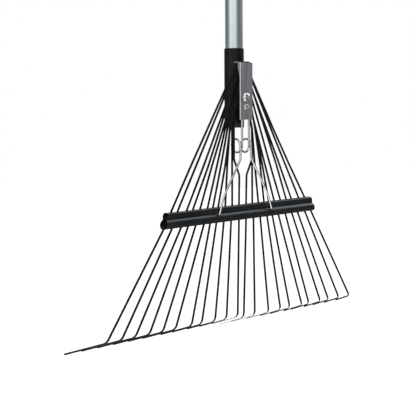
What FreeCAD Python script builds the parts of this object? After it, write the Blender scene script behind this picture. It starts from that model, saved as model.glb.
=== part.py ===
"""Spring-brace leaf rake: handle, head clamp, 22 flat spring tines, crossbar and wire brace.

The model is drawn in head heights: z = 0 is the lower end of the ferrule, the handle's axis is x = y = 0,
the crossbar runs along X, the brace is on the -Y side and the tine tips bend towards +Y.
Every part is moved down by HANG_HEIGHT when it is written, so that the origin is the hang hole's centre.
All lengths are in millimetres.
"""

import FreeCAD
import Part

import math
import os

V = FreeCAD.Vector

# ---- driving dimensions -------------------------------------------------------------------------
HANG_HEIGHT = 1400.0        # hang hole's centre above the ferrule's lower end

HANDLE_R = 14.3             # 1 1/8 inch tube
HANDLE_WALL = 1.2
HANDLE_BOTTOM = 12.0
HANDLE_TOP = 1382.0

FERRULE_R = 16.1
FERRULE_BORE_R = 14.4
FERRULE_BOTTOM = 8.0
FERRULE_TOP = 128.8
FERRULE_RIM_ROUND = 0.5

PLUG_FLANGE_BOTTOM = 0.5
PLUG_SPIGOT_TOP = 11.5
PLUG_SPIGOT_R = 14.3
PLUG_RIM_ROUND = 1.5

GRIP_R = 17.0
GRIP_BORE_R = 14.35
GRIP_BOTTOM = 1165.0
GRIP_END_ROUND = 2.5

CAP_R = 16.0
CAP_SPIGOT_R = 13.0
CAP_SPIGOT_LENGTH = 30.0
CAP_COLLAR_HEIGHT = 6.0
CAP_COLLAR_ROUND = 2.0
CAP_TAB_R = 14.0
CAP_TAB_THICKNESS = 12.0
CAP_TAB_EDGE_ROUND = 1.5
HANG_HOLE_R = 5.0

# tines: flat spring strip, numbered outwards from the middle of each side
LEFT = -1
RIGHT = 1
TINES_PER_SIDE = 11
TINE_WIDTH = 3.4
TINE_THICKNESS = 1.7
TINE_TOP = 107.5
COLUMN_X = (4.1, 7.55, 11.0)             # the clamped strips stand in three columns a side
LAYERS = 4                              # and in four layers in front of the ferrule
LAYER_PITCH = 1.76
FIRST_LAYER_GAP = 0.1
LEAVE_Z = {                             # where each strip leaves its column
    LEFT: (58.0, 58.0, 60.0, 74.0, 74.0, 67.0, 80.0, 96.5, 90.5, 101.0, 102.5),
    RIGHT: (58.0, 58.0, 60.0, 74.0, 74.0, 67.0, 89.0, 81.0, 82.0, 98.0, 101.5),
}
INNER_SHOULDER = ((20.5, 0.0), (20.5, -51.0), (8.2, -77.0))     # the innermost pair clears the coils
SHOULDER_Z = -2.0
SHOULDER_X = {                          # the other strips' distance from the middle at SHOULDER_Z
    LEFT: (20.5, 23.0, 26.5, 31.0, 35.0, 38.5, 42.0, 53.0, 58.0, 69.0, 75.5),
    RIGHT: (20.5, 22.0, 24.5, 26.0, 28.5, 31.5, 43.5, 49.0, 54.5, 67.0, 74.5),
}
SPREAD_Z = -60.0                        # below this the strips lean to the one plane of the crossbar
ENTRY_X = {                             # at the crossbar's top edge
    LEFT: (7.9, 23.2, 38.6, 54.0, 65.5, 77.0, 92.5, 107.5, 120.0, 138.5, 151.5),
    RIGHT: (8.4, 22.8, 37.0, 50.5, 62.0, 75.5, 91.0, 105.5, 118.5, 138.0, 153.5),
}
EXIT_X = {                              # at its bottom edge
    LEFT: (8.0, 25.7, 42.0, 58.0, 71.5, 84.5, 101.5, 117.0, 131.0, 149.0, 165.5),
    RIGHT: (8.3, 25.5, 41.5, 58.0, 71.0, 86.0, 103.5, 120.0, 135.0, 154.0, 170.0),
}
TIP_BEND_X = {
    LEFT: (9.5, 35.0, 60.5, 89.5, 111.0, 144.0, 169.5, 196.0, 223.0, 248.5, 275.5),
    RIGHT: (4.5, 30.5, 64.0, 93.5, 117.0, 148.5, 167.0, 198.0, 220.5, 249.5, 279.5),
}
TIP_BEND_Z = {LEFT: -311.5, RIGHT: -314.5}
TIP_BEND_Y = -16.7
TIP_BEND_R = 11.0
TIP_THICKNESS = 0.8                     # the strip is rolled thinner past its bend
TIP_REACH = 61.6                        # from the bend's corner to the tip, along +Y
TIP_DROP = 22.2                         # and down
TIP_DIRECTION_Y = 0.88                  # how much of the tip's direction lies along +Y
TIP_SPLAY = 0.123                       # how much wider the fan is at its tips than at the bends
KINK_R = 14.0
SMALL_TURN = 6.0                        # degrees; a smaller turn is one mitred corner
ARC_STEP = 8.0                          # degrees of a bend between two sections

# crossbar: two pressed sheets, one each side of the tines
CROSSBAR_Y = -18.8
CROSSBAR_TOP = -125.1
CROSSBAR_FOOT = -149.6
UPPER_LOBE_R = 5.7
UPPER_LOBE_Z = -130.4
LOWER_LOBE_R = 8.5
LOWER_LOBE_Z = -141.6
LOBE_OFFSET = 0.6
SHEET = 0.8
SHEET_GAP = 1.25                        # each sheet's lip from the tines' middle plane
CROSSBAR_HALF_TOP = 163.0
CROSSBAR_HALF_BOTTOM = 170.5
CROSSBAR_SHIFT = 0.7                    # how far the crossbar's middle stands to the right
CROSSBAR_TILT = 1.0                     # degrees; its right end stands higher
CROSSBAR_MIDDLE_Z = -137.0
CROSSBAR_RIVET_X = (34.0, 90.5, 136.0)
CROSSBAR_RIVET_R = 1.5
CROSSBAR_RIVET_HALF_LENGTH = 5.4
CROSSBAR_RIVET_CLEARANCE = 0.05

# clamp bracket: pressed channel on the front of the ferrule
BRACKET_HALF_WIDTH = 14.0
BRACKET_FRONT = -29.5
BRACKET_SHEET = 1.2
BRACKET_TOP = 105.0
BRACKET_BOTTOM = 13.5
BRACKET_CORNER_R = 1.6
BRACKET_SIDE_DEPTH = 2.4
EAR_DEPTH = 6.1
EAR_FULL_Z = 95.0
EAR_FOOT_Z = 83.5
FINGER_DEPTH = 15.0
FINGER_Z = 104.6
FINGER_TOP = 106.6

CLAMP_PLATE_FRONT = -24.4
CLAMP_PLATE_THICKNESS = 1.1
CLAMP_PLATE_HALF_WIDTH = 12.2
CLAMP_PLATE_TOP = 98.0
CLAMP_PLATE_BOTTOM = 15.5

BOLT_Z = 49.2
BOLT_R = 2.0
BOLT_CLEARANCE = 0.25
BOLT_HEAD_R = 7.5
BOLT_HEAD_HEIGHT = 3.6
BOLT_RECESS_R = 2.6
BOLT_RECESS_DEPTH = 1.8
WASHER_R = 6.0
WASHER_THICKNESS = 1.0
NUT_ACROSS_FLATS = 7.0
NUT_HEIGHT = 3.2
NUT_BORE_R = 2.02
BOLT_TAIL = 1.2

RIVET_Z = 33.8
RIVET_R = 2.25
RIVET_HOLE_R = 1.65
RIVET_CLEARANCE = 0.1
RIVET_HEAD_R = 5.0
RIVET_HEAD_HEIGHT = 1.5
RIVET_TAIL_R = 4.0
RIVET_TAIL_HEIGHT = 1.1
RIVET_TAIL_ROUND = 0.6

# spring brace: one bent wire
WIRE_R = 1.75
WIRE_Y = -26.3
WIRE_LEG_X = 7.65
WIRE_LOOP_Z = 70.0
COIL_R = 10.8
COIL_Z = -28.6
COIL_PITCH = 4.75
COIL_CORNERS = 8
FULL_ROUND = 1000.0                     # so large that a corner's arc takes all the room it has
ARM_KNEE = (12.3, -27.6, -50.0)
ARM_KNEE_R = 14.0
ARM_BOW = (50.6, -27.7, -110.0)
ARM_BOW_R = 110.0
ARM_END = (59.1, -28.2, -134.8)
ARM_END_R = 3.4
PEG_END = (60.1, -21.5, -139.1)
PEG_CLEARANCE = 0.9


# ---- small helpers ------------------------------------------------------------------------------
def cylinder(radius, start, end):
    """A round bar between two points."""
    along = end.sub(start)
    return Part.makeCylinder(radius, along.Length, start, along)


def tube(outer, inner, bottom, top):
    """An upright tube on the handle's axis."""
    body = Part.makeCylinder(outer, top - bottom, V(0, 0, bottom))
    return body.cut(Part.makeCylinder(inner, top - bottom, V(0, 0, bottom)))


def box(low, high):
    """A box between two corners."""
    return Part.makeBox(high[0] - low[0], high[1] - low[1], high[2] - low[2], V(*low))


def turn_between(before, after):
    """The angle between two directions, in radians."""
    return before.getAngle(after)


def fillet_points(corner, before, after, radius, reach):
    """Start, middle and end of the arc that rounds a corner, and its centre."""
    d_in = corner.sub(before).normalize()
    d_out = after.sub(corner).normalize()
    turn = turn_between(d_in, d_out)
    cut = min(radius * math.tan(turn / 2), reach)
    start = corner.sub(d_in * cut)
    end = corner.add(d_out * cut)
    inward = d_out.sub(d_in).normalize()
    real_radius = cut / math.tan(turn / 2)
    centre = corner.add(inward * (real_radius / math.cos(turn / 2)))
    middle = centre.sub(inward * real_radius)
    return start, middle, end, centre


# ---- handle -------------------------------------------------------------------------------------
def across_hole(radius, height):
    """A cutter along Y through the whole head at one height."""
    return cylinder(radius, V(0, -40, height), V(0, 40, height))


def drilled(shape):
    """The bolt's and the rivet's holes, cut through a part of the head."""
    shape = shape.cut(across_hole(BOLT_R + BOLT_CLEARANCE, BOLT_Z))
    return shape.cut(across_hole(RIVET_R + RIVET_CLEARANCE, RIVET_Z))


def make_handle_tube():
    return drilled(tube(HANDLE_R, HANDLE_R - HANDLE_WALL, HANDLE_BOTTOM, HANDLE_TOP))


def make_ferrule():
    body = Part.makeCylinder(FERRULE_R, FERRULE_TOP - FERRULE_BOTTOM, V(0, 0, FERRULE_BOTTOM))
    top_edge = [e for e in body.Edges if e.BoundBox.ZMin > FERRULE_TOP - 1e-3]
    body = body.makeFillet(FERRULE_RIM_ROUND, top_edge)
    bore = Part.makeCylinder(FERRULE_BORE_R, FERRULE_TOP - FERRULE_BOTTOM, V(0, 0, FERRULE_BOTTOM))
    return drilled(body.cut(bore))


def make_ferrule_plug():
    """The plastic plug that closes the ferrule below the handle."""
    flange = Part.makeCylinder(FERRULE_R, FERRULE_BOTTOM - PLUG_FLANGE_BOTTOM, V(0, 0, PLUG_FLANGE_BOTTOM))
    rims = [e for e in flange.Edges if e.BoundBox.ZMax < PLUG_FLANGE_BOTTOM + 1e-3]
    flange = flange.makeFillet(PLUG_RIM_ROUND, rims)
    spigot = Part.makeCylinder(PLUG_SPIGOT_R, PLUG_SPIGOT_TOP - FERRULE_BOTTOM, V(0, 0, FERRULE_BOTTOM))
    return flange.fuse(spigot).removeSplitter()


def make_grip():
    body = Part.makeCylinder(GRIP_R, HANDLE_TOP - GRIP_BOTTOM, V(0, 0, GRIP_BOTTOM))
    lower = [e for e in body.Edges if e.BoundBox.ZMax < GRIP_BOTTOM + 1e-3]
    body = body.makeFillet(GRIP_END_ROUND, lower)
    return body.cut(Part.makeCylinder(GRIP_BORE_R, HANDLE_TOP - GRIP_BOTTOM, V(0, 0, GRIP_BOTTOM)))


def make_end_cap():
    """The plug in the handle's end, with the flat tab that holds the hang hole."""
    spigot = Part.makeCylinder(CAP_SPIGOT_R, CAP_SPIGOT_LENGTH, V(0, 0, HANDLE_TOP - CAP_SPIGOT_LENGTH))
    collar = Part.makeCylinder(CAP_R, CAP_COLLAR_HEIGHT, V(0, 0, HANDLE_TOP))
    upper = [e for e in collar.Edges if e.BoundBox.ZMin > HANDLE_TOP + CAP_COLLAR_HEIGHT - 1e-3]
    collar = collar.makeFillet(CAP_COLLAR_ROUND, upper)
    half = CAP_TAB_THICKNESS / 2
    disc = cylinder(CAP_TAB_R, V(0, -half, HANG_HEIGHT), V(0, half, HANG_HEIGHT))
    stem = box((-CAP_TAB_R, -half, HANDLE_TOP + 1.0), (CAP_TAB_R, half, HANG_HEIGHT))
    tab = disc.fuse(stem).removeSplitter()
    hole = across_hole(HANG_HOLE_R, HANG_HEIGHT)
    outline = [e for e in tab.Edges if abs(abs(e.BoundBox.YMin) - half) < 1e-3 and e.BoundBox.YLength < 1e-3
               and e.BoundBox.ZMax > HANG_HEIGHT - 1e-3]
    tab = tab.makeFillet(CAP_TAB_EDGE_ROUND, outline)
    return spigot.fuse(collar).fuse(tab).cut(hole).removeSplitter()


# ---- head clamp ---------------------------------------------------------------------------------
def channel(depth, bottom, top):
    """A U channel with rounded front corners: its web is the bracket's front, its sides are depth deep."""
    back = BRACKET_FRONT + depth
    outer = box((-BRACKET_HALF_WIDTH, BRACKET_FRONT, bottom), (BRACKET_HALF_WIDTH, back, top))
    front_corners = [e for e in outer.Edges
                     if e.BoundBox.ZLength > 0.1 and e.BoundBox.YMax < BRACKET_FRONT + 1e-3]
    outer = outer.makeFillet(BRACKET_CORNER_R, front_corners)
    inner_half = BRACKET_HALF_WIDTH - BRACKET_SHEET
    inner = box((-inner_half, BRACKET_FRONT + BRACKET_SHEET, bottom), (inner_half, back, top))
    inner_corners = [e for e in inner.Edges
                     if e.BoundBox.ZLength > 0.1 and e.BoundBox.YMax < BRACKET_FRONT + BRACKET_SHEET + 1e-3]
    inner = inner.makeFillet(BRACKET_CORNER_R - BRACKET_SHEET, inner_corners)
    return outer.cut(inner)


def ear(side):
    """A side's deeper ear at the top, tapering out below, with a finger that reaches back to the ferrule."""
    shallow = BRACKET_FRONT + BRACKET_SIDE_DEPTH
    deep = BRACKET_FRONT + EAR_DEPTH
    finger = BRACKET_FRONT + FINGER_DEPTH
    outline = [
        (shallow - 0.5, EAR_FOOT_Z), (shallow, EAR_FOOT_Z), (deep, EAR_FULL_Z), (deep, FINGER_Z),
        (finger, FINGER_Z), (finger, FINGER_TOP), (deep, FINGER_TOP), (shallow - 0.5, BRACKET_TOP),
    ]
    x = side * BRACKET_HALF_WIDTH
    points = [V(x, y, z) for y, z in outline]
    face = Part.Face(Part.makePolygon(points + points[:1]))
    return face.extrude(V(-side * BRACKET_SHEET, 0, 0))


def make_brace_bracket():
    body = channel(BRACKET_SIDE_DEPTH, BRACKET_BOTTOM, BRACKET_TOP)
    body = body.fuse([ear(1), ear(-1)]).removeSplitter()
    return drilled(body)


def make_clamp_plate():
    """The flat bar that presses the stacked strips against the ferrule."""
    plate = box(
        (-CLAMP_PLATE_HALF_WIDTH, CLAMP_PLATE_FRONT, CLAMP_PLATE_BOTTOM),
        (CLAMP_PLATE_HALF_WIDTH, CLAMP_PLATE_FRONT + CLAMP_PLATE_THICKNESS, CLAMP_PLATE_TOP),
    )
    return drilled(plate)


def dome(radius, height, y, z):
    """A shallow round head on the bracket's front, bulging towards -Y."""
    sphere_r = (radius * radius + height * height) / (2 * height)
    ball = Part.makeSphere(sphere_r, V(0, y - height + sphere_r, z))
    return ball.common(cylinder(radius + 1, V(0, y - height - 1, z), V(0, y, z)))


def make_clamp_bolt():
    head = dome(BOLT_HEAD_R, BOLT_HEAD_HEIGHT, BRACKET_FRONT, BOLT_Z)
    front = BRACKET_FRONT - BOLT_HEAD_HEIGHT
    recess = cylinder(BOLT_RECESS_R, V(0, front - 1, BOLT_Z), V(0, front + BOLT_RECESS_DEPTH, BOLT_Z))
    tail = FERRULE_R + WASHER_THICKNESS + NUT_HEIGHT + BOLT_TAIL
    shank = cylinder(BOLT_R, V(0, BRACKET_FRONT - 0.5, BOLT_Z), V(0, tail, BOLT_Z))
    return head.fuse(shank).cut(recess).removeSplitter()


def make_clamp_washer():
    start = V(0, FERRULE_R, BOLT_Z)
    end = V(0, FERRULE_R + WASHER_THICKNESS, BOLT_Z)
    return cylinder(WASHER_R, start, end).cut(cylinder(BOLT_R + BOLT_CLEARANCE, start, end))


def make_clamp_nut():
    y = FERRULE_R + WASHER_THICKNESS
    corner = NUT_ACROSS_FLATS / math.sqrt(3)
    angles = [math.radians(60 * i) for i in range(7)]
    points = [V(corner * math.cos(a), y, BOLT_Z + corner * math.sin(a)) for a in angles]
    nut = Part.Face(Part.makePolygon(points)).extrude(V(0, NUT_HEIGHT, 0))
    return nut.cut(cylinder(NUT_BORE_R, V(0, y - 1, BOLT_Z), V(0, y + NUT_HEIGHT + 1, BOLT_Z)))


def make_tube_rivet():
    """The tubular rivet below the bolt: a domed eyelet in front, rolled over behind the ferrule."""
    head = dome(RIVET_HEAD_R, RIVET_HEAD_HEIGHT, BRACKET_FRONT, RIVET_Z)
    tail_end = FERRULE_R + RIVET_TAIL_HEIGHT
    shank = cylinder(RIVET_R, V(0, BRACKET_FRONT - 0.5, RIVET_Z), V(0, tail_end, RIVET_Z))
    tail = cylinder(RIVET_TAIL_R, V(0, FERRULE_R, RIVET_Z), V(0, tail_end, RIVET_Z))
    rims = [e for e in tail.Edges if e.BoundBox.YMin > tail_end - 1e-3]
    tail = tail.makeFillet(RIVET_TAIL_ROUND, rims)
    return head.fuse([shank, tail]).cut(across_hole(RIVET_HOLE_R, RIVET_Z)).removeSplitter()


# ---- spring brace -------------------------------------------------------------------------------
def coil_corners():
    """(corner, radius) round the right-hand coil: down the front, back under it and over the top."""
    step = 2 * math.pi / COIL_CORNERS
    centre_y = WIRE_Y + COIL_R
    corner_r = COIL_R / math.cos(step / 2)
    corners = []
    for i in range(COIL_CORNERS):
        angle = step * (i + 0.5)
        x = WIRE_LEG_X + COIL_PITCH * (i + 0.5) / COIL_CORNERS
        corner = V(x, centre_y - corner_r * math.cos(angle), COIL_Z - corner_r * math.sin(angle))
        corners.append((corner, FULL_ROUND))
    return corners


def right_half_route():
    """(corner, radius) from the loop's top down to the peg, on the +X side."""
    loop_top = WIRE_LOOP_Z + WIRE_LEG_X
    route = [(V(0, WIRE_Y, loop_top), 0.0), (V(WIRE_LEG_X, WIRE_Y, loop_top), WIRE_LEG_X)]
    route += coil_corners()
    route.append((V(*ARM_KNEE), ARM_KNEE_R))
    route.append((V(*ARM_BOW), ARM_BOW_R))
    route.append((V(*ARM_END), ARM_END_R))
    route.append((V(*PEG_END), 0.0))
    return route


def wire_path(route):
    """Straight runs joined by tangent arcs through a list of (corner, radius)."""
    points = [p for p, r in route]
    lengths = [points[i + 1].sub(points[i]).Length for i in range(len(points) - 1)]
    edges = []
    here = points[0]
    last = len(points) - 1
    for i in range(1, last):
        room_before = lengths[i - 1] if i == 1 else lengths[i - 1] / 2
        room_after = lengths[i] if i == last - 1 else lengths[i] / 2
        start, middle, end, centre = fillet_points(
            points[i], points[i - 1], points[i + 1], route[i][1], min(room_before, room_after))
        if start.sub(here).Length > 1e-3:
            edges.append(Part.LineSegment(here, start).toShape())
        edges.append(Part.Arc(start, middle, end).toShape())
        here = end
    edges.append(Part.LineSegment(here, points[last]).toShape())
    return Part.Wire(edges)


def make_spring_brace():
    """One wire: a loop behind the bracket, a coil on each leg, and two arms that peg into the crossbar."""
    path = wire_path(right_half_route())
    profile = Part.Wire([Part.makeCircle(WIRE_R, V(0, WIRE_Y, WIRE_LOOP_Z + WIRE_LEG_X), V(1, 0, 0))])
    half = path.makePipeShell([profile], True, True)
    swept = math.pi * WIRE_R ** 2 * path.Length
    print("brace: volume / (section x length) =", round(half.Volume / swept, 4))
    mirrored = half.mirror(V(0, 0, 0), V(1, 0, 0))
    return half.fuse(mirrored).removeSplitter()


# ---- tines --------------------------------------------------------------------------------------
def layer_y(index):
    """The middle of the layer that a tine is clamped in."""
    first = -(FERRULE_R + FIRST_LAYER_GAP + TINE_THICKNESS / 2)
    return first - LAYER_PITCH * (-(index + 2) % LAYERS)


def tine_corners(index, side):
    """Corners of a tine's middle line, from the clamp to the tip, drawn on the right-hand side."""
    column = COLUMN_X[(index + 1) // LAYERS]
    y = layer_y(index)
    flat = [(column, TINE_TOP), (column, LEAVE_Z[side][index])]
    flat += INNER_SHOULDER if index == 0 else [(SHOULDER_X[side][index], SHOULDER_Z)]
    flat.append((ENTRY_X[side][index], CROSSBAR_TOP))
    corners = []
    for i, (x, z) in enumerate(flat[:-1]):
        corners.append(V(x, lean_y(y, z), z))
        next_x, next_z = flat[i + 1]
        if z > SPREAD_Z > next_z:
            share = (z - SPREAD_Z) / (z - next_z)
            corners.append(V(x + (next_x - x) * share, y, SPREAD_Z))
    corners.append(V(ENTRY_X[side][index], CROSSBAR_Y, CROSSBAR_TOP))
    corners.append(V(EXIT_X[side][index], CROSSBAR_Y, CROSSBAR_FOOT))
    bend_x = TIP_BEND_X[side][index]
    bend_z = TIP_BEND_Z[side]
    corners.append(V(bend_x, TIP_BEND_Y, bend_z))
    corners.append(V(bend_x * (1 + TIP_SPLAY), TIP_BEND_Y + TIP_REACH, bend_z - TIP_DROP))
    return corners


def lean_y(y, z):
    """A strip keeps its layer down to SPREAD_Z, then leans to the crossbar's plane."""
    share = (SPREAD_Z - z) / (SPREAD_Z - CROSSBAR_TOP)
    share = min(max(share, 0.0), 1.0)
    return y + (CROSSBAR_Y - y) * share


def arc_stations(corner, before, after, radius):
    """Points and directions along the arc that rounds a corner."""
    reach = 0.45 * min(corner.sub(before).Length, after.sub(corner).Length)
    start, middle, end, centre = fillet_points(corner, before, after, radius, reach)
    d_in = corner.sub(before).normalize()
    d_out = after.sub(corner).normalize()
    turn = turn_between(d_in, d_out)
    steps = max(2, math.ceil(math.degrees(turn) / ARC_STEP))
    arm = start.sub(centre)
    stations = []
    for i in range(steps + 1):
        angle = turn * i / steps
        point = centre.add(arm * math.cos(angle)).add(d_in * (arm.Length * math.sin(angle)))
        direction = d_in * math.cos(angle) - arm * (math.sin(angle) / arm.Length)
        stations.append((point, direction))
    return stations


def tine_stations(corners):
    """Points and directions of the sections that a tine is lofted through."""
    first = corners[1].sub(corners[0]).normalize()
    stations = [(corners[0], first)]
    for i in range(1, len(corners) - 1):
        d_in = corners[i].sub(corners[i - 1]).normalize()
        d_out = corners[i + 1].sub(corners[i]).normalize()
        if math.degrees(turn_between(d_in, d_out)) < SMALL_TURN:
            stations.append((corners[i], d_in.add(d_out).normalize()))
            continue
        is_tip = i == len(corners) - 2
        radius = TIP_BEND_R if is_tip else KINK_R
        stations += arc_stations(corners[i], corners[i - 1], corners[i + 1], radius)
    stations.append((corners[-1], corners[-1].sub(corners[-2]).normalize()))
    return stations


def thickness_at(direction):
    """The strip thins as it turns from the upright into the tip."""
    share = min(max(direction.y, 0.0), TIP_DIRECTION_Y) / TIP_DIRECTION_Y
    return TINE_THICKNESS + (TIP_THICKNESS - TINE_THICKNESS) * share


def strip_section(point, direction, side):
    """The strip's rectangle at a point: its thickness stays as near to Y as its direction allows."""
    thick = V(0, 1, 0) - direction * direction.y
    thick.normalize()
    wide = direction.cross(thick)
    half_w = wide * (TINE_WIDTH / 2)
    half_t = thick * (thickness_at(direction) / 2)
    back = point + half_t
    front = point - half_t
    ring = [back + half_w, back - half_w, front - half_w, front + half_w]
    ring = [V(side * p.x, p.y, p.z) for p in ring]
    return Part.makePolygon(ring + ring[:1])


def make_tine(index, side):
    stations = tine_stations(tine_corners(index, side))
    sections = [strip_section(point, direction, side) for point, direction in stations]
    return Part.makeLoft(sections, True, True)


# ---- crossbar -----------------------------------------------------------------------------------
def lobed_bar(front, inset):
    """The two-lobed section of one sheet, inset from its outer face and run along X."""
    y = CROSSBAR_Y + (-LOBE_OFFSET if front else LOBE_OFFSET)
    ends = CROSSBAR_HALF_BOTTOM + 5
    bar = None
    for radius, z in ((UPPER_LOBE_R, UPPER_LOBE_Z), (LOWER_LOBE_R, LOWER_LOBE_Z)):
        lobe = cylinder(radius - inset, V(-ends, y, z), V(ends, y, z))
        bar = lobe if bar is None else bar.fuse(lobe)
    return bar.removeSplitter()


def end_trim():
    """The wedge-ended block that leaves the crossbar's ends parallel to the outer tines."""
    top = CROSSBAR_TOP + 1
    bottom = LOWER_LOBE_Z - LOWER_LOBE_R - 1
    outline = [
        V(CROSSBAR_SHIFT - CROSSBAR_HALF_TOP, -60, top),
        V(CROSSBAR_SHIFT + CROSSBAR_HALF_TOP, -60, top),
        V(CROSSBAR_SHIFT + CROSSBAR_HALF_BOTTOM, -60, bottom),
        V(CROSSBAR_SHIFT - CROSSBAR_HALF_BOTTOM, -60, bottom),
    ]
    return Part.Face(Part.makePolygon(outline + outline[:1])).extrude(V(0, 120, 0))


def crossbar_rivet_pins(radius, half_length):
    """The six pins between tines that hold the two sheets together."""
    valley = valley_z()
    pins = []
    for x in CROSSBAR_RIVET_X:
        for side in (-1, 1):
            start = V(side * x, CROSSBAR_Y - half_length, valley)
            end = V(side * x, CROSSBAR_Y + half_length, valley)
            pins.append(cylinder(radius, start, end))
    return pins


def valley_z():
    """The height at which the two lobes meet."""
    apart = UPPER_LOBE_Z - LOWER_LOBE_Z
    from_upper = (apart ** 2 + UPPER_LOBE_R ** 2 - LOWER_LOBE_R ** 2) / (2 * apart)
    return UPPER_LOBE_Z - from_upper


def make_crossbar_sheet(front):
    sheet = lobed_bar(front, 0.0).cut(lobed_bar(front, SHEET))
    far = 60.0
    if front:
        keep = box((-200, CROSSBAR_Y - far, -160), (200, CROSSBAR_Y - SHEET_GAP, -110))
    else:
        keep = box((-200, CROSSBAR_Y + SHEET_GAP, -160), (200, CROSSBAR_Y + far, -110))
    sheet = sheet.common(keep).common(end_trim())
    hole_r = CROSSBAR_RIVET_R + CROSSBAR_RIVET_CLEARANCE
    for pin in crossbar_rivet_pins(hole_r, CROSSBAR_RIVET_HALF_LENGTH + 5):
        sheet = sheet.cut(pin)
    tilt_crossbar(sheet)
    if front:
        for side in (-1, 1):
            start = V(side * ARM_END[0], ARM_END[1], ARM_END[2])
            end = V(side * PEG_END[0], PEG_END[1], PEG_END[2])
            sheet = sheet.cut(cylinder(WIRE_R + PEG_CLEARANCE, start, end))
    return sheet


def make_crossbar_rivets():
    pins = Part.makeCompound(crossbar_rivet_pins(CROSSBAR_RIVET_R, CROSSBAR_RIVET_HALF_LENGTH))
    tilt_crossbar(pins)
    return pins


def tilt_crossbar(shape):
    """Turns a piece of the crossbar about its middle, so that its right end stands higher."""
    shape.rotate(V(0, CROSSBAR_Y, CROSSBAR_MIDDLE_Z), V(0, -1, 0), CROSSBAR_TILT)


# ---- the parts ----------------------------------------------------------------------------------
def all_parts():
    """Every node's name and shape, in head heights."""
    parts = {
        "handle_tube": make_handle_tube(),
        "grip": make_grip(),
        "end_cap": make_end_cap(),
        "ferrule": make_ferrule(),
        "ferrule_plug": make_ferrule_plug(),
        "brace_bracket": make_brace_bracket(),
        "clamp_plate": make_clamp_plate(),
        "clamp_bolt": make_clamp_bolt(),
        "clamp_washer": make_clamp_washer(),
        "clamp_nut": make_clamp_nut(),
        "tube_rivet": make_tube_rivet(),
        "spring_brace": make_spring_brace(),
        "crossbar_front": make_crossbar_sheet(True),
        "crossbar_rear": make_crossbar_sheet(False),
        "crossbar_rivets": make_crossbar_rivets(),
    }
    for place in range(2 * TINES_PER_SIDE):
        left = place < TINES_PER_SIDE
        index = TINES_PER_SIDE - 1 - place if left else place - TINES_PER_SIDE
        parts[f"tine_{place + 1:02d}"] = make_tine(index, LEFT if left else RIGHT)
    return parts


def main():
    os.makedirs("parts", exist_ok=True)
    for name, shape in all_parts().items():
        moved = shape.copy()
        moved.translate(V(0, 0, -HANG_HEIGHT))
        if not moved.isValid() or not moved.Solids:
            print("PROBLEM:", name, "valid", moved.isValid(), "solids", len(moved.Solids))
        moved.exportStep(f"parts/{name}.step")
    print("parts written")


main()
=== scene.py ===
"""Looks of the spring-brace leaf rake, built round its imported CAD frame. All lengths are in metres.

The frame's origin is the hang hole; the handle runs down -Z, the crossbar runs along X,
the wire brace is on the -Y side and the tine tips bend towards +Y.
"""

import math

import bmesh
import bpy
from mathutils import Matrix, Vector


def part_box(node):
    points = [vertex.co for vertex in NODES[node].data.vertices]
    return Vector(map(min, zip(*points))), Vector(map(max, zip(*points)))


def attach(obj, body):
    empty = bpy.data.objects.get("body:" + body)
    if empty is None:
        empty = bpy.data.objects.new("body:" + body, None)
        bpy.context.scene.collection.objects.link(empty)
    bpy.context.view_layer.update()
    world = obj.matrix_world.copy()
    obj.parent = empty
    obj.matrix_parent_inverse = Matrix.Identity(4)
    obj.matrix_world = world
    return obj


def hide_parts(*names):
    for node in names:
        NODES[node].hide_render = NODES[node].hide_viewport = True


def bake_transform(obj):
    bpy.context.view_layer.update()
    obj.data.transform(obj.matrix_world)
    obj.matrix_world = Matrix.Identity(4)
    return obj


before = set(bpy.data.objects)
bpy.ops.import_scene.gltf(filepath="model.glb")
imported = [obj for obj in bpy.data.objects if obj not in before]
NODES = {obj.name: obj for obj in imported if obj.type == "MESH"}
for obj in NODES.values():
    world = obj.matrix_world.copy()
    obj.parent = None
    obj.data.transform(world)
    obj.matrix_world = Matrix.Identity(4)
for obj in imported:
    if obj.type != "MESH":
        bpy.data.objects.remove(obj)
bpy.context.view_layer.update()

MM = 0.001
TINES = [f"tine_{i:02d}" for i in range(1, 23)]
HEAD_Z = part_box("ferrule_plug")[0].z            # the ferrule plug's lower face
CLAMP_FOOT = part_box("brace_bracket")[0].z       # where the tines leave the bracket
CROSSBAR_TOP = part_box("crossbar_front")[1].z
TIP_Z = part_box("tine_01")[0].z

# ---- the design's own dimensions, in millimetres, in head heights (0 at the ferrule's foot) -------
HANG_HEIGHT = 1400.0
FOOT = Vector((0, 0, -HANG_HEIGHT * MM))
UP = (0, 0, 1)
HANDLE_R = 14.3
HANDLE_WALL = 1.2
HANDLE_BOTTOM = 12.0
HANDLE_TOP = 1382.0
FERRULE_R = 16.1
FERRULE_BOTTOM = 8.0
FERRULE_TOP = 128.8
PLUG_BOTTOM = 0.5
PLUG_TOP = 11.5
GRIP_R = 17.0
GRIP_BOTTOM = 1165.0
GRIP_FOOT_ROUND = 2.6
GRIP_TOP_ROUND = 1.2
GRIP_WAVE = 0.16
BRACKET_FRONT = -29.5
BOLT_Z = 49.2
BOLT_R = 2.0
BOLT_HEAD = 3.6
BOLT_END = 21.5
BOLT_THREAD_START = -40.0
THREAD_PITCH = 0.7
WASHER_THICKNESS = 1.0
RIVET_Z = 33.8
RIVET_R = 2.25
RIVET_BORE = 1.65
TINE_EDGE = 0.3
BEND_STEP = 6.0           # between two cuts of a piece that bends
CROSSBAR_Y = -18.8
UPPER_LOBE_R = 5.7
UPPER_LOBE_Z = -130.4
LOWER_LOBE_R = 8.5
LOWER_LOBE_Z = -141.6
LOBE_OFFSET = 0.6
LOBE_STEPS = 22
BAR_SPANS = 40
BAR_RIM_ROUND = 0.22
SHOULDER = 0.65          # below 1 squares the upper lobe's top edge
FLANK = 1.3              # above 1 flattens the lower lobe's upper flank
SHEET = 0.8
SHEET_GAP = 1.25
CROSSBAR_HIGH = -124.1
CROSSBAR_LOW = -151.1
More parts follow.
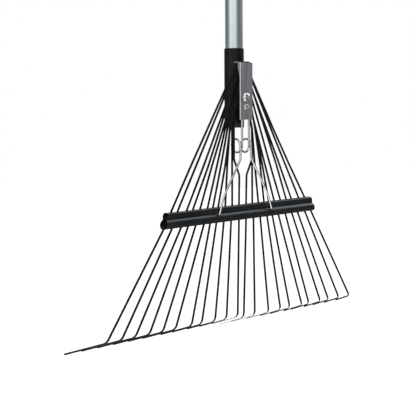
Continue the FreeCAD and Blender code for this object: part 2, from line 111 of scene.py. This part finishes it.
CROSSBAR_HALF_TOP = 163.0
CROSSBAR_HALF_BOTTOM = 170.5
CROSSBAR_SHIFT = 0.7
CROSSBAR_TILT = 1.0
CROSSBAR_MIDDLE_Z = -137.0
CROSSBAR_RIVET_X = (34.0, 90.5, 136.0)
VALLEY_Z = -134.2
ARM_END = (59.1, -28.2, -134.8)
PEG_END = (60.1, -21.5, -139.1)
PEG_HOLE_R = 2.6


# ---- camera and stage ---------------------------------------------------------------------------
CAMERA_AZIMUTH = -42.0
CAMERA_PITCH = 5.45
CAMERA_ROLL = -0.35
CAMERA_DISTANCE = 1.496
CAMERA_LENS = 78.64
CAMERA_AIM = Vector((-0.0411, 0.0202, -1.5309))
FLOOR_DROP = 1.20
FLOOR_HALF = 14.0


# ---- materials ----------------------------------------------------------------------------------
def material(name, colour, metallic, roughness):
    """A principled material with its steady values set on the shader itself."""
    mat = bpy.data.materials.new(name)
    mat.use_nodes = True
    tree = mat.node_tree
    shader = tree.nodes["Principled BSDF"]
    shader.inputs["Base Color"].default_value = (*colour, 1.0)
    shader.inputs["Metallic"].default_value = metallic
    shader.inputs["Roughness"].default_value = roughness
    return mat, tree, shader


def stretched_noise(tree, scale, stretch, detail=4.0):
    """Noise in the row frame, drawn out by dividing one axis's frequency."""
    place = tree.nodes.new("ShaderNodeTexCoord")
    mapping = tree.nodes.new("ShaderNodeMapping")
    mapping.inputs["Scale"].default_value = stretch
    noise = tree.nodes.new("ShaderNodeTexNoise")
    noise.inputs["Scale"].default_value = scale
    noise.inputs["Detail"].default_value = detail
    tree.links.new(place.outputs["Object"], mapping.inputs["Vector"])
    tree.links.new(mapping.outputs["Vector"], noise.inputs["Vector"])
    return noise.outputs["Fac"]


def ranged(tree, value, low, high, start=0.3, end=0.7):
    """Maps a noise value to a range."""
    node = tree.nodes.new("ShaderNodeMapRange")
    node.inputs["From Min"].default_value = start
    node.inputs["From Max"].default_value = end
    node.inputs["To Min"].default_value = low
    node.inputs["To Max"].default_value = high
    tree.links.new(value, node.inputs["Value"])
    return node.outputs["Result"]


def tinted(tree, value, dark, light, start=0.3, end=0.7):
    """A colour between two, led by a noise value."""
    ramp = tree.nodes.new("ShaderNodeValToRGB")
    ramp.color_ramp.elements[0].position = start
    ramp.color_ramp.elements[0].color = (*dark, 1.0)
    ramp.color_ramp.elements[1].position = end
    ramp.color_ramp.elements[1].color = (*light, 1.0)
    tree.links.new(value, ramp.inputs["Fac"])
    return ramp.outputs["Color"]


def bumped(tree, shader, value, strength, distance):
    """Adds bump to a shader from a height value."""
    bump = tree.nodes.new("ShaderNodeBump")
    bump.inputs["Strength"].default_value = strength
    bump.inputs["Distance"].default_value = distance
    tree.links.new(value, bump.inputs["Height"])
    tree.links.new(bump.outputs["Normal"], shader.inputs["Normal"])


def black_enamel(name, roughness_low, roughness_high, specular, coat, coat_roughness=0.12):
    """Black paint over steel, with a faint orange peel and duller patches."""
    mat, tree, shader = material(name, (0.005, 0.005, 0.006), 0.0, roughness_low)
    shader.inputs["Specular IOR Level"].default_value = specular
    shader.inputs["Coat Weight"].default_value = coat
    shader.inputs["Coat Roughness"].default_value = coat_roughness
    patches = stretched_noise(tree, 35.0, (1, 1, 1))
    grain = stretched_noise(tree, 900.0, (1, 1, 1), 2.0)
    paint = tinted(tree, patches, (0.002, 0.0024, 0.0026), (0.007, 0.008, 0.009))
    tree.links.new(paint, shader.inputs["Base Color"])
    tree.links.new(ranged(tree, patches, roughness_low, roughness_high), shader.inputs["Roughness"])
    bumped(tree, shader, grain, 0.10, 0.0003)
    return mat


def zinc_plate(name, dark, light, roughness_low, roughness_high, stretch):
    """Zinc-plated steel with drawn streaks."""
    mat, tree, shader = material(name, light, 1.0, roughness_low)
    streaks = stretched_noise(tree, 1.0, stretch, 6.0)
    tree.links.new(tinted(tree, streaks, dark, light), shader.inputs["Base Color"])
    tree.links.new(ranged(tree, streaks, roughness_low, roughness_high), shader.inputs["Roughness"])
    bumped(tree, shader, streaks, 0.12, 0.0002)
    return mat


def satin_aluminium():
    """Brushed and anodised tube, with fine lines along its length."""
    mat, tree, shader = material("satin_aluminium", (0.8, 0.83, 0.85), 1.0, 0.36)
    lines = stretched_noise(tree, 1.0, (900, 900, 6), 4.0)
    brushed = tinted(tree, lines, (0.64, 0.71, 0.73), (0.73, 0.80, 0.82))
    tree.links.new(brushed, shader.inputs["Base Color"])
    tree.links.new(ranged(tree, lines, 0.30, 0.42), shader.inputs["Roughness"])
    bumped(tree, shader, lines, 0.06, 0.0002)
    return mat


def foam(name):
    """Dull black foam with fine cells."""
    mat, tree, shader = material(name, (0.02, 0.02, 0.02), 0.0, 0.9)
    cells = stretched_noise(tree, 1400.0, (1, 1, 1), 3.0)
    black = tinted(tree, cells, (0.010, 0.010, 0.010), (0.03, 0.03, 0.03))
    tree.links.new(black, shader.inputs["Base Color"])
    tree.links.new(ranged(tree, cells, 0.75, 0.95), shader.inputs["Roughness"])
    bumped(tree, shader, cells, 0.6, 0.0006)
    return mat


def moulded_plastic(name):
    """Black plastic with a fine moulded grain."""
    mat, tree, shader = material(name, (0.015, 0.015, 0.015), 0.0, 0.5)
    grain = stretched_noise(tree, 1100.0, (1, 1, 1), 3.0)
    black = tinted(tree, grain, (0.010, 0.010, 0.010), (0.02, 0.02, 0.02))
    tree.links.new(black, shader.inputs["Base Color"])
    tree.links.new(ranged(tree, grain, 0.42, 0.6), shader.inputs["Roughness"])
    bumped(tree, shader, grain, 0.25, 0.0004)
    return mat


MATERIALS = {
    "handle_aluminium": satin_aluminium(),
    "grip_foam": foam("grip_foam"),
    "cap_plastic": moulded_plastic("cap_plastic"),
    "ferrule_black": black_enamel("ferrule_black", 0.34, 0.46, 0.15, 0.0),
    "plug_plastic": moulded_plastic("plug_plastic"),
    "bracket_zinc": zinc_plate(
        "bracket_zinc", (0.50, 0.50, 0.505), (0.76, 0.76, 0.765), 0.36, 0.5, (420, 420, 14)),
    "plate_black": black_enamel("plate_black", 0.4, 0.5, 0.3, 0.0),
    "fastener_zinc": zinc_plate(
        "fastener_zinc", (0.70, 0.70, 0.71), (0.88, 0.88, 0.88), 0.24, 0.36, (200, 200, 200)),
    "brace_wire": zinc_plate(
        "brace_wire", (0.60, 0.60, 0.605), (0.80, 0.80, 0.80), 0.2, 0.3, (160, 160, 40)),
    "crossbar_black": black_enamel("crossbar_black", 0.22, 0.32, 0.36, 0.3, 0.2),
    "tine_black": black_enamel("tine_black", 0.28, 0.42, 0.25, 0.0),
}


# ---- mesh helpers -------------------------------------------------------------------------------
def head_point(x, y, z):
    """A point given in millimetres and head heights, moved into the row frame."""
    return FOOT + Vector((x, y, z)) * MM


def new_object(name, bm):
    """A smooth-shaded mesh object from a bmesh."""
    bmesh.ops.recalc_face_normals(bm, faces=bm.faces[:])
    mesh = bpy.data.meshes.new(name)
    bm.to_mesh(mesh)
    bm.free()
    stored = mesh.attributes.get("custom_normal")
    if stored:
        mesh.attributes.remove(stored)
    mesh.shade_smooth()
    obj = bpy.data.objects.new(name, mesh)
    bpy.context.scene.collection.objects.link(obj)
    return obj


def weighted(obj):
    """Flat faces stay flat beside their rounded edges."""
    modifier = obj.modifiers.new("weighted_normals", "WEIGHTED_NORMAL")
    modifier.keep_sharp = True
    return obj


def stands_for(obj, slot, nodes, body):
    """Gives a piece its slot's material and its body, and hides the CAD nodes it stands for.

    With no body, the piece's placement is baked into its mesh.
    """
    obj.data.materials.clear()
    obj.data.materials.append(MATERIALS[slot])
    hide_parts(*nodes)
    if body:
        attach(obj, body)
    else:
        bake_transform(obj)
    return obj


def cad_copy(node):
    """The CAD node's mesh with its split vertices joined and its flat triangles merged."""
    bm = bmesh.new()
    bm.from_mesh(NODES[node].data)
    bmesh.ops.remove_doubles(bm, verts=bm.verts[:], dist=2e-6)
    bmesh.ops.dissolve_limit(bm, angle_limit=math.radians(0.5), verts=bm.verts[:], edges=bm.edges[:])
    return bm


def slice_along_z(bm, low, high, step):
    """Cuts a mesh at level planes, so that it can bend."""
    count = int((high - low) / step)
    for i in range(count + 1):
        geometry = bm.verts[:] + bm.edges[:] + bm.faces[:]
        level = Vector((0, 0, low + i * step))
        bmesh.ops.bisect_plane(bm, geom=geometry, plane_co=level, plane_no=(0, 0, 1), dist=1e-7)


def round_edges(bm, width, sharper_than, segments=2):
    """Bevels the edges that are sharper than an angle in degrees."""
    limit = math.radians(sharper_than)
    edges = [e for e in bm.edges if len(e.link_faces) == 2 and e.calc_face_angle(0.0) > limit]
    bmesh.ops.bevel(
        bm, geom=edges, offset=width, offset_type="OFFSET", segments=segments, profile=0.5,
        affect="EDGES", clamp_overlap=True)


def lathe(name, profile, centre, axis, turns=96):
    """Turns a closed (radius, height) outline, in millimetres, about an axis through a point."""
    along = Vector(axis).normalized()
    across = along.orthogonal().normalized()
    third = along.cross(across)
    bm = bmesh.new()
    rings = []
    for i in range(turns):
        angle = 2 * math.pi * i / turns
        out = across * math.cos(angle) + third * math.sin(angle)
        rings.append([bm.verts.new(Vector(centre) + (along * h + out * r) * MM) for r, h in profile])
    count = len(profile)
    for i in range(turns):
        here = rings[i]
        after = rings[(i + 1) % turns]
        for j in range(count):
            k = (j + 1) % count
            bm.faces.new((here[j], here[k], after[k], after[j]))
    bmesh.ops.remove_doubles(bm, verts=bm.verts[:], dist=1e-7)
    bmesh.ops.dissolve_degenerate(bm, edges=bm.edges[:], dist=1e-8)
    return new_object(name, bm)


def arc(centre_r, centre_h, radius, start, end, steps=5):
    """Points of an arc in a lathe outline; angles in degrees from the radius direction."""
    points = []
    for i in range(steps + 1):
        a = math.radians(start + (end - start) * i / steps)
        points.append((centre_r + radius * math.cos(a), centre_h + radius * math.sin(a)))
    return points


def tube_outline(outer, inner, bottom, top, lip):
    """A tube's outline with all four rims rounded."""
    outline = arc(outer - lip, bottom + lip, lip, -90, 0)
    outline += arc(outer - lip, top - lip, lip, 0, 90)
    outline += arc(inner + lip, top - lip, lip, 90, 180)
    outline += arc(inner + lip, bottom + lip, lip, 180, 270)
    return outline


def apply_cut(obj, cutters):
    """Cuts solids out of a mesh and drops the cutters."""
    for cutter in cutters:
        cut = obj.modifiers.new("cut", "BOOLEAN")
        cut.object = cutter
        cut.operation = "DIFFERENCE"
        cut.solver = "EXACT"
    bpy.context.view_layer.update()
    made = obj.evaluated_get(bpy.context.evaluated_depsgraph_get())
    mesh = bpy.data.meshes.new_from_object(made)
    obj.modifiers.clear()
    old = obj.data
    obj.data = mesh
    bpy.data.meshes.remove(old)
    for cutter in cutters:
        data = cutter.data
        bpy.data.objects.remove(cutter)
        bpy.data.meshes.remove(data)
    return obj


# ---- handle pieces ------------------------------------------------------------------------------
def make_handle():
    """The aluminium tube with rounded rims."""
    outline = tube_outline(HANDLE_R, HANDLE_R - HANDLE_WALL, HANDLE_BOTTOM, HANDLE_TOP, 0.3)
    return lathe("handle_aluminium_tube", outline, FOOT, UP, 128)


def make_ferrule():
    """The black tube round the handle's lower end."""
    outline = tube_outline(FERRULE_R, HANDLE_R + 0.1, FERRULE_BOTTOM, FERRULE_TOP, 0.35)
    return lathe("ferrule_tube", outline, FOOT, UP, 128)


def make_plug():
    """The plug's flange with a moulding step, and a shallow dish in its face."""
    low = PLUG_BOTTOM
    outline = [(0.0, low + 0.8), (11.0, low + 0.8)]
    outline += arc(12.5, low + 0.4, 0.4, 200, 270, 3)
    outline += arc(FERRULE_R - 1.5, low + 1.5, 1.5, -90, 0)
    outline += [(FERRULE_R, FERRULE_BOTTOM - 0.25), (FERRULE_R - 0.25, FERRULE_BOTTOM)]
    outline += [(HANDLE_R, FERRULE_BOTTOM), (HANDLE_R, PLUG_TOP), (0.0, PLUG_TOP)]
    return lathe("ferrule_plug_moulding", outline, FOOT, UP, 96)


def make_grip():
    """The foam sleeve: soft rims and very slight waves where the foam was drawn on."""
    steps = 60
    foot = GRIP_FOOT_ROUND
    outline = arc(GRIP_R - foot, GRIP_BOTTOM + foot, foot, -90, 0, 8)
    for i in range(1, steps):
        share = i / steps
        wave = GRIP_WAVE * math.sin(share * 41.0) * math.sin(share * 17.0 + 0.6)
        height = GRIP_BOTTOM + GRIP_FOOT_ROUND + (HANDLE_TOP - GRIP_BOTTOM - 4.0) * share
        outline.append((GRIP_R - GRIP_WAVE + wave, height))
    top = GRIP_TOP_ROUND
    outline += arc(GRIP_R - top, HANDLE_TOP - top, top, 0, 90, 5)
    outline += [(HANDLE_R + 0.05, HANDLE_TOP), (HANDLE_R + 0.05, GRIP_BOTTOM)]
    return lathe("grip_foam_sleeve", outline, FOOT, UP, 96)


def make_end_cap():
    """The cap and its hang tab, with softened edges."""
    bm = cad_copy("end_cap")
    round_edges(bm, 0.4 * MM, 40)
    return weighted(new_object("end_cap_moulding", bm))


# ---- clamp pieces -------------------------------------------------------------------------------
def pressed_copy(node, name, width, sharper_than):
    """A CAD copy with its sheared edges rounded."""
    bm = cad_copy(node)
    round_edges(bm, width * MM, sharper_than)
    return weighted(new_object(name, bm))


def make_bolt():
    """Domed head with a hexagonal socket, plain shank and a threaded end."""
    front = BRACKET_FRONT
    outline = [(0.0, BOLT_HEAD), (2.0, BOLT_HEAD - 0.12), (3.9, BOLT_HEAD - 0.55)]
    outline += [(5.6, BOLT_HEAD - 1.3), (6.7, BOLT_HEAD - 2.1), (7.3, BOLT_HEAD - 2.9)]
    outline += [(7.5, 0.35), (7.3, 0.0), (BOLT_R, 0.0)]
    end = front - BOLT_END
    height = BOLT_THREAD_START
    while height > end + THREAD_PITCH:
        outline += [(BOLT_R, height), (BOLT_R - 0.3, height - THREAD_PITCH / 2)]
        height -= THREAD_PITCH
    outline += [(BOLT_R, height), (BOLT_R - 0.5, end), (0.0, end)]
    bolt = lathe("clamp_bolt_domed", outline, head_point(0, front, BOLT_Z), (0, -1, 0), 72)
    socket = [(0.0, 0.4), (3.0, 0.4), (2.6, -1.8), (0.0, -2.6)]
    cutter = lathe("socket_cutter", socket, head_point(0, front - BOLT_HEAD, BOLT_Z), (0, -1, 0), 6)
    apply_cut(bolt, [cutter])
    bolt.data.shade_smooth()
    bolt.data.set_sharp_from_angle(angle=math.radians(35))
    return bolt


def make_washer():
    """The flat washer behind the ferrule."""
    outline = tube_outline(6.0, BOLT_R + 0.25, 0.0, WASHER_THICKNESS, 0.15)
    return lathe("clamp_washer_turned", outline, head_point(0, FERRULE_R, BOLT_Z), (0, 1, 0), 64)


def make_rivet():
    """An eyelet: its rolled front flange, its bore, and the star-rolled tail behind the ferrule."""
    tail = BRACKET_FRONT - FERRULE_R
    outline = arc(3.6, 0.05, 1.4, 0, 90, 6)
    outline += arc(2.6, 0.45, 1.0, 80, 180, 6)
    outline += [(RIVET_BORE, -1.0), (RIVET_BORE, tail - 0.6)]
    outline += arc(2.6, tail - 0.35, 0.9, 180, 275, 6)
    outline += arc(3.3, tail - 0.25, 0.7, -90, 0, 4)
    outline += [(3.9, tail), (RIVET_R, tail), (RIVET_R, 0.0), (4.9, 0.0)]
    return lathe("tube_rivet_rolled", outline, head_point(0, BRACKET_FRONT, RIVET_Z), (0, -1, 0), 64)


# ---- spring pieces ------------------------------------------------------------------------------
def make_brace():
    """The round wire, cut into short lengths where it bends with the tines."""
    bm = cad_copy("spring_brace")
    slice_along_z(bm, CROSSBAR_TOP, CLAMP_FOOT, BEND_STEP * MM)
    return new_object("spring_brace_wire", bm)


def make_tine(node):
    """A strip with rolled edges, cut into short lengths where it bends with the brace."""
    bm = cad_copy(node)
    round_edges(bm, TINE_EDGE * MM, 40)
    slice_along_z(bm, CROSSBAR_TOP, CLAMP_FOOT, BEND_STEP * MM)
    return weighted(new_object(node + "_strip", bm))


# ---- crossbar pieces ----------------------------------------------------------------------------
def rounded(angle, power):
    """A point of a unit lobe at an angle from its top; a power squares or flattens its upper quarter."""
    if angle >= math.pi / 2:
        return math.sin(angle), math.cos(angle)
    return math.sin(angle) ** power, math.cos(angle) ** power


def lobes_outline(side, inset):
    """A sheet's pressed face from its top lip over both lobes to its bottom lip: (y, head height)."""
    y0 = CROSSBAR_Y + side * LOBE_OFFSET
    lip = CROSSBAR_Y + side * SHEET_GAP
    upper = UPPER_LOBE_R - inset
    lower = LOWER_LOBE_R - inset
    apart = UPPER_LOBE_Z - LOWER_LOBE_Z
    down = (apart ** 2 + upper ** 2 - lower ** 2) / (2 * apart)
    rise = (lip - y0) * side
    top = math.asin((rise / upper) ** (1.0 / SHOULDER))
    foot = math.asin(rise / lower)
    upper_end = math.pi - math.acos(down / upper)
    lower_start = math.acos((apart - down) / lower)
    points = []
    for i in range(LOBE_STEPS + 1):
        a = top + (upper_end - top) * i / LOBE_STEPS
        out, high = rounded(a, SHOULDER)
        points.append((y0 + side * upper * out, UPPER_LOBE_Z + upper * high))
    for i in range(1, LOBE_STEPS + 1):
        a = lower_start + (math.pi - foot - lower_start) * i / LOBE_STEPS
        out, high = rounded(a, FLANK)
        points.append((y0 + side * lower * out, LOWER_LOBE_Z + lower * high))
    return points


def bar_end(height, side):
    """Where the crossbar ends at a head height."""
    share = (CROSSBAR_HIGH - height) / (CROSSBAR_HIGH - CROSSBAR_LOW)
    return CROSSBAR_SHIFT + side * (CROSSBAR_HALF_TOP + (CROSSBAR_HALF_BOTTOM - CROSSBAR_HALF_TOP) * share)


def make_crossbar_sheet(node, side):
    """One pressed sheet of the crossbar with its two lobes and its holes for the brace's pegs."""
    outer = lobes_outline(side, 0.0)
    inner = lobes_outline(side, SHEET)
    loop = outer + inner[::-1]
    bm = bmesh.new()
    rings = []
    for i in range(BAR_SPANS + 1):
        share = i / BAR_SPANS
        ring = []
        for y, z in loop:
            x = bar_end(z, -1) + (bar_end(z, 1) - bar_end(z, -1)) * share
            ring.append(bm.verts.new(head_point(x, y, z)))
        rings.append(ring)
    count = len(loop)
    for i in range(BAR_SPANS):
        for j in range(count):
            k = (j + 1) % count
            bm.faces.new((rings[i][j], rings[i][k], rings[i + 1][k], rings[i + 1][j]))
    bridge = len(outer)
    for ring in (rings[0], rings[-1]):
        for j in range(bridge - 1):
            bm.faces.new((ring[j], ring[j + 1], ring[count - 2 - j], ring[count - 1 - j]))
    round_edges(bm, BAR_RIM_ROUND * MM, 55)
    tilt_crossbar(bm)
    sheet = new_object(node + "_pressing", bm)
    if side < 0:
        apply_cut(sheet, [peg_hole(-1), peg_hole(1)])
    sheet.data.shade_smooth()
    sheet.data.set_sharp_from_angle(angle=math.radians(38))
    return weighted(sheet)


def tilt_crossbar(bm):
    """The crossbar's right end stands a little higher."""
    middle = head_point(0, CROSSBAR_Y, CROSSBAR_MIDDLE_Z)
    turn = Matrix.Rotation(math.radians(-CROSSBAR_TILT), 3, "Y")
    bmesh.ops.rotate(bm, cent=middle, matrix=turn, verts=bm.verts[:])


def peg_hole(side):
    """The round cutter for one of the brace's peg holes."""
    start = Vector(head_point(side * ARM_END[0], ARM_END[1], ARM_END[2]))
    end = Vector(head_point(side * PEG_END[0], PEG_END[1], PEG_END[2]))
    along = (end - start).normalized()
    outline = [(0.0, -0.6), (PEG_HOLE_R, -0.6), (PEG_HOLE_R, 9.0), (0.0, 9.0)]
    return lathe("peg_cutter", outline, start, along, 32)


def make_crossbar_rivets():
    """Six small rivets with domed ends, one mesh."""
    outline = [(0.0, 5.4), (0.7, 5.3), (1.2, 5.05), (1.45, 4.7), (1.5, 4.2)]
    outline += [(r, -h) for r, h in reversed(outline)]
    parts = []
    for x in CROSSBAR_RIVET_X:
        for side in (-1, 1):
            parts.append(lathe("pin", outline, head_point(side * x, CROSSBAR_Y, VALLEY_Z), (0, 1, 0), 24))
    bm = bmesh.new()
    for part in parts:
        bm.from_mesh(part.data)
        data = part.data
        bpy.data.objects.remove(part)
        bpy.data.meshes.remove(data)
    tilt_crossbar(bm)
    return new_object("crossbar_rivet_set", bm)


# ---- assembly -----------------------------------------------------------------------------------
def build_handle_pieces():
    stands_for(make_handle(), "handle_aluminium", ["handle_tube"], "handle")
    grip = stands_for(make_grip(), "grip_foam", ["grip"], "handle")
    stands_for(make_end_cap(), "cap_plastic", ["end_cap"], "handle")
    stands_for(make_ferrule(), "ferrule_black", ["ferrule"], "handle")
    stands_for(make_plug(), "plug_plastic", ["ferrule_plug"], "handle")


def build_clamp_pieces():
    bracket = pressed_copy("brace_bracket", "brace_bracket_pressing", 0.25, 50)
    stands_for(bracket, "bracket_zinc", ["brace_bracket"], "handle")
    plate = pressed_copy("clamp_plate", "clamp_plate_bar", 0.25, 50)
    stands_for(plate, "plate_black", ["clamp_plate"], "handle")
    stands_for(make_bolt(), "fastener_zinc", ["clamp_bolt"], "handle")
    stands_for(make_washer(), "fastener_zinc", ["clamp_washer"], "handle")
    nut = pressed_copy("clamp_nut", "clamp_nut_hex", 0.3, 50)
    stands_for(nut, "fastener_zinc", ["clamp_nut"], "handle")
    stands_for(make_rivet(), "fastener_zinc", ["tube_rivet"], "handle")


def build_fan_pieces():
    stands_for(make_brace(), "brace_wire", ["spring_brace"], None)
    for node in TINES:
        stands_for(make_tine(node), "tine_black", [node], None)
    stands_for(make_crossbar_sheet("crossbar_front", -1), "crossbar_black", ["crossbar_front"], "fan")
    stands_for(make_crossbar_sheet("crossbar_rear", 1), "crossbar_black", ["crossbar_rear"], "fan")
    stands_for(make_crossbar_rivets(), "crossbar_black", ["crossbar_rivets"], "fan")


# ---- camera, light, floor -----------------------------------------------------------------------
def make_camera():
    """A camera at the fitted viewpoint."""
    azimuth = math.radians(CAMERA_AZIMUTH)
    pitch = math.radians(CAMERA_PITCH)
    level = math.cos(pitch)
    forward = Vector((-math.sin(azimuth) * level, math.cos(azimuth) * level, -math.sin(pitch)))
    data = bpy.data.cameras.new("camera")
    data.lens = CAMERA_LENS
    data.sensor_width = 36.0
    data.clip_end = 60.0
    camera = bpy.data.objects.new("camera", data)
    bpy.context.scene.collection.objects.link(camera)
    aimed = forward.to_track_quat("-Z", "Y").to_matrix().to_4x4()
    roll = Matrix.Rotation(math.radians(CAMERA_ROLL), 4, "Z")
    camera.matrix_world = Matrix.Translation(CAMERA_AIM - forward * CAMERA_DISTANCE) @ aimed @ roll
    bpy.context.scene.camera = camera
    return camera


def area_light(name, azimuth, elevation, distance, size, power, colour=(1.0, 1.0, 1.0)):
    """A soft rectangular light aimed at the head."""
    data = bpy.data.lights.new(name, "AREA")
    data.shape = "RECTANGLE"
    data.size, data.size_y = size
    data.energy = power
    data.color = colour
    light = bpy.data.objects.new(name, data)
    bpy.context.scene.collection.objects.link(light)
    a = math.radians(azimuth)
    e = math.radians(elevation)
    out = Vector((math.sin(a) * math.cos(e), -math.cos(a) * math.cos(e), math.sin(e)))
    light.location = Vector((0, 0, HEAD_Z)) + out * distance
    light.visible_camera = False
    light.rotation_mode = "QUATERNION"
    light.rotation_quaternion = (-out).to_track_quat("-Z", "Y")


def make_world():
    """White behind the rake, and a dimmer grey for what the metal and paint reflect."""
    world = bpy.data.worlds.new("studio")
    bpy.context.scene.world = world
    world.use_nodes = True
    tree = world.node_tree
    tree.nodes.clear()
    seen = tree.nodes.new("ShaderNodeBackground")
    seen.inputs["Color"].default_value = (1, 1, 1, 1)
    seen.inputs["Strength"].default_value = 1.0
    lit = tree.nodes.new("ShaderNodeBackground")
    lit.inputs["Color"].default_value = (0.92, 0.96, 1.0, 1)
    lit.inputs["Strength"].default_value = 0.18
    path = tree.nodes.new("ShaderNodeLightPath")
    mix = tree.nodes.new("ShaderNodeMixShader")
    out = tree.nodes.new("ShaderNodeOutputWorld")
    tree.links.new(path.outputs["Is Camera Ray"], mix.inputs["Fac"])
    tree.links.new(lit.outputs["Background"], mix.inputs[1])
    tree.links.new(seen.outputs["Background"], mix.inputs[2])
    tree.links.new(mix.outputs["Shader"], out.inputs["Surface"])


def make_floor():
    """A pale floor well below the tips, which the metal doesn't reflect."""
    mesh = bpy.data.meshes.new("floor")
    z = TIP_Z - FLOOR_DROP
    h = FLOOR_HALF
    mesh.from_pydata([(-h, -h, z), (h, -h, z), (h, h, z), (-h, h, z)], [], [(0, 1, 2, 3)])
    floor = bpy.data.objects.new("floor", mesh)
    bpy.context.scene.collection.objects.link(floor)
    mat, tree, shader = material("floor", (0.9, 0.9, 0.9), 0.0, 0.9)
    shader.inputs["Emission Color"].default_value = (1, 1, 1, 1)
    shader.inputs["Emission Strength"].default_value = 1.0
    mesh.materials.append(mat)
    floor.visible_glossy = False


def make_studio():
    """Camera, background, floor and soft lights all round."""
    make_camera()
    make_world()
    make_floor()
    area_light("key", -84, 22, 2.4, (2.2, 2.6), 20)
    area_light("front", -34, 16, 2.6, (2.2, 2.4), 16)
    area_light("top", -60, 75, 2.2, (2.0, 1.0), 20)
    area_light("side", 82, 38, 2.4, (1.6, 2.0), 22, (0.86, 0.93, 1.0))
    area_light("under", -48, -48, 1.0, (0.8, 0.7), 4.0)
    area_light("back", 150, 30, 2.6, (1.6, 1.6), 14)
    bpy.context.scene.view_settings.view_transform = "Standard"


build_handle_pieces()
build_clamp_pieces()
build_fan_pieces()
make_studio()
